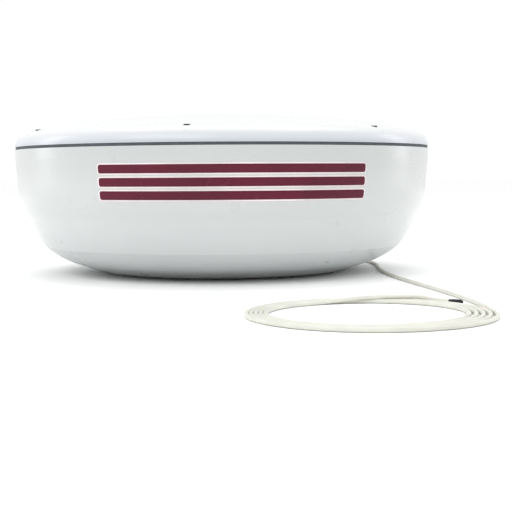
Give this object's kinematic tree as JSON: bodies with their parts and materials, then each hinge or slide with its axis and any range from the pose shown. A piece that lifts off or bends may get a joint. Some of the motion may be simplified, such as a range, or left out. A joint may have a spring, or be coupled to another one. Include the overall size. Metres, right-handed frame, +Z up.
{
  "type": "radar dome antenna",
  "caption": "Round closed-array radar dome with a domed lid, geared spinning antenna inside and a coil of white interconnect cable.",
  "frame": {"origin": "centre of the plane that the feet rest on, on the dome axis", "axes": "+Z up along the dome axis, -Y towards the front with the stripes, +Y towards the cable gland"},
  "size_m": [0.652, 1.0833, 0.247],
  "materials": {
    "array_grey": "foam-backed laminate",
    "bearing_steel": "polished",
    "board_green": "solder mask",
    "brass": "satin",
    "cable_tip": "satin",
    "cable_white": "satin jacket",
    "cast_aluminium": "sand cast",
    "chassis_aluminium": "passivated sheet",
    "component_blue": "sleeved",
    "gasket_grey": "matte",
    "gear_nylon": "machined nylon",
    "gland_grey": "moulded",
    "guide_copper": "passivated",
    "housing_white": "glossy gelcoat",
    "lid_white": "glossy gelcoat",
    "magnet_dark": "ferrite",
    "motor_black": "satin",
    "pad_grey": "matte",
    "seal_black": "matte",
    "sensor_black": "moulded",
    "shaft_steel": "turned",
    "stainless": "satin",
    "stripe_burgundy": "satin film",
    "stripe_outline": "satin film",
    "tin_plate": "tinned",
    "transformer_brown": "potted"
  },
  "bodies": {
    "housing": {"bearing_housing": "bearing_steel", "bearing_housing_screws": "bearing_steel", "board_screws": "stainless", "board_standoffs": "brass", "breather_vent": "gland_grey", "cable_coil": "cable_white", "cable_end_plug": "cable_tip", "cable_lead": "cable_white", "chassis_plate": "chassis_aluminium", "chassis_screws": "stainless", "circulator": "cast_aluminium", "cover_inserts": "brass", "gland_body": "gland_grey", "gland_locknut": "gland_grey", "gland_nut": "gland_grey", "gland_seal": "seal_black", "heat_sink": "cast_aluminium", "index_sensor": "sensor_black", "lower_bearing_balls": "bearing_steel", "lower_bearing_outer_ring": "bearing_steel", "lower_housing": "housing_white", "magnetron": "tin_plate", "magnetron_magnets": "magnet_dark", "modulator_board": "board_green", "motor_body": "motor_black", "motor_bracket": "chassis_aluminium", "motor_screws": "stainless", "mounting_inserts": "brass", "power_board": "board_green", "power_components": "component_blue", "processor_board": "board_green", "pulse_transformer": "transformer_brown", "receiver_module": "tin_plate", "rest_pads": "pad_grey", "rim_gasket": "gasket_grey", "rotary_joint_stator": "guide_copper", "shield_can": "tin_plate", "side_stripes": "stripe_burgundy", "upper_bearing_balls": "bearing_steel", "upper_bearing_outer_ring": "bearing_steel", "waveguide": "guide_copper", "wiring_harness": "bearing_steel"},
    "cover": {"upper_cover": "lid_white", "cover_screws": "stainless", "cover_screw_seals": "seal_black"},
    "antenna": {"antenna_shaft": "shaft_steel", "drive_gear": "gear_nylon", "index_magnet": "magnet_dark", "antenna_bracket": "cast_aluminium", "array_backplate": "chassis_aluminium", "array_board": "board_green", "array_cover": "array_grey", "array_end_caps": "array_grey", "feed_cable": "cable_tip", "rotary_joint_rotor": "guide_copper", "lower_bearing_inner_ring": "bearing_steel", "upper_bearing_inner_ring": "bearing_steel"},
    "motor_rotor": {"motor_shaft": "shaft_steel", "motor_pinion": "brass"}
  },
  "joints": [
    {"name": "antenna_spin", "type": "hinge", "parent": "housing", "child": "antenna", "pos_m": [0, 0, 0.12], "axis": [0, 0, 1], "continuous": true},
    {"name": "motor_spin", "type": "hinge", "parent": "housing", "child": "motor_rotor", "pos_m": [-0.07, 0, 0.12], "axis": [0, 0, 1], "continuous": true},
    {"name": "cover_lift", "type": "slide", "parent": "housing", "child": "cover", "axis": [0, 0, 1], "range_m": [0, 0.25]}
  ],
  "couplings": [
    {"joint": "motor_spin", "follows": "antenna_spin", "ratio": -6}
  ]
}
